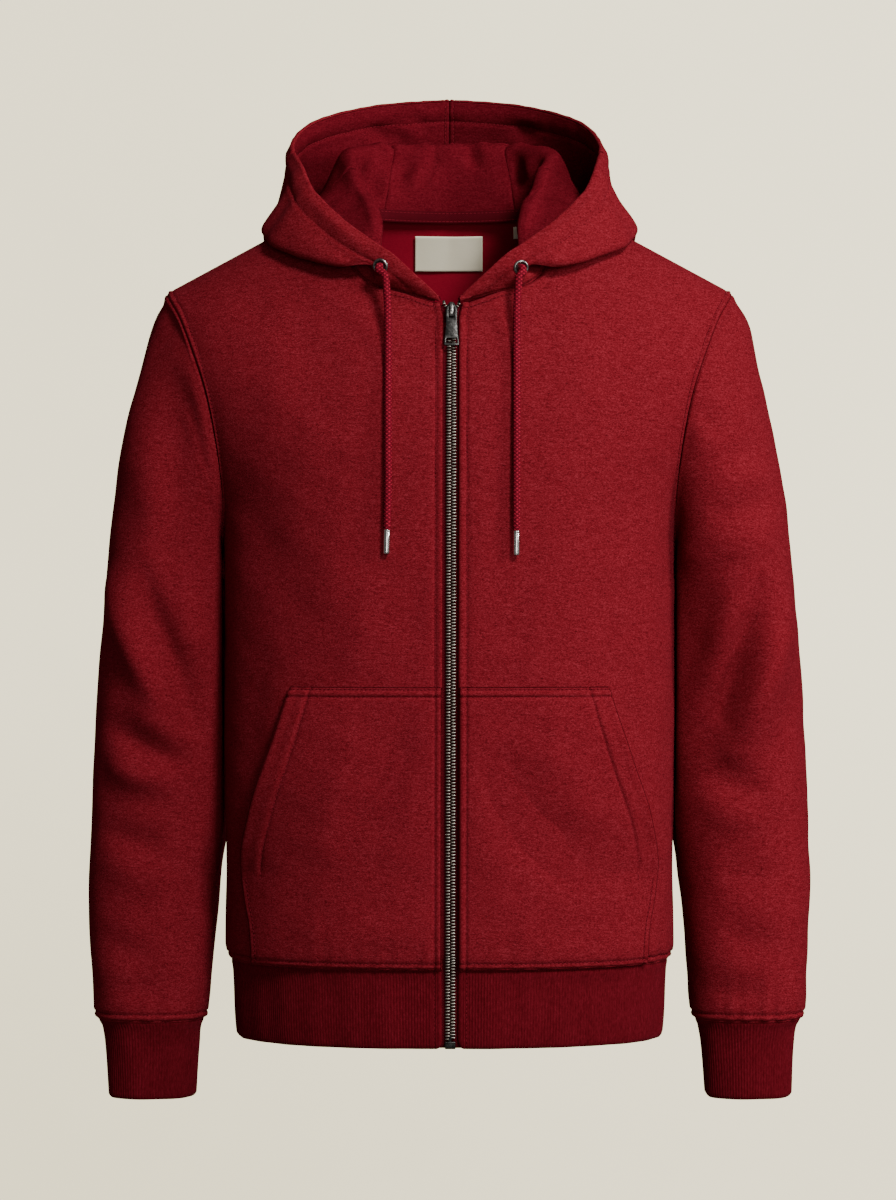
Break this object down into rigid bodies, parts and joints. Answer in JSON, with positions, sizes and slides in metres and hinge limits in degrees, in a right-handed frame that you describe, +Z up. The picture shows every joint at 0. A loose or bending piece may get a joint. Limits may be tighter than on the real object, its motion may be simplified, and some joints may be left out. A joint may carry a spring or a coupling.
{
  "type": "zip-up hoodie",
  "caption": "Hollow zip-up hoodie as worn, with a folded hood, drawcord ends, kangaroo pockets, ribbed hem and cuffs, and a pull tab that swings.",
  "frame": {"origin": "where the wearer's shoulders hold it: on the line of the shoulder seams, between the shoulders, 6.5 mm above the high shoulder points", "axes": "+Z up towards the hood, -Y out of the front with the zip, +X to the wearer's left"},
  "size_m": [0.5992, 0.2889, 0.8416],
  "materials": {
    "fleece": "brushed fleece, marl",
    "rib": "1x1 rib knit",
    "tape": "twill",
    "label": "satin, bare",
    "gunmetal": "antique gunmetal",
    "silver": "polished",
    "cord": "braided"
  },
  "bodies": {
    "garment": {"aglet_left": "silver", "aglet_right": "silver", "back": "fleece", "cuff_left": "rib", "cuff_right": "rib", "drawcord_left": "cord", "drawcord_right": "cord", "eyelet_left": "gunmetal", "eyelet_right": "gunmetal", "front_left": "fleece", "front_right": "fleece", "hem_rib": "rib", "hood_gusset": "fleece", "hood_lining_left": "fleece", "hood_lining_right": "fleece", "hood_outer_left": "fleece", "hood_outer_right": "fleece", "neck_label": "label", "neck_tape": "tape", "pocket_left": "fleece", "pocket_right": "fleece", "size_tab": "label", "sleeve_left": "fleece", "sleeve_right": "fleece", "zip_chain": "gunmetal", "zip_slider": "gunmetal", "zip_stop": "gunmetal", "zip_tape_left": "tape", "zip_tape_right": "tape"},
    "pull_tab": {"pull_tab": "gunmetal"}
  },
  "joints": [
    {"name": "pull_tab_swing", "type": "hinge", "parent": "garment", "child": "pull_tab", "pos_m": [0.00159, -0.09728, -0.10219], "axis": [-1, 0, 0], "range_deg": [0, 150]}
  ]
}
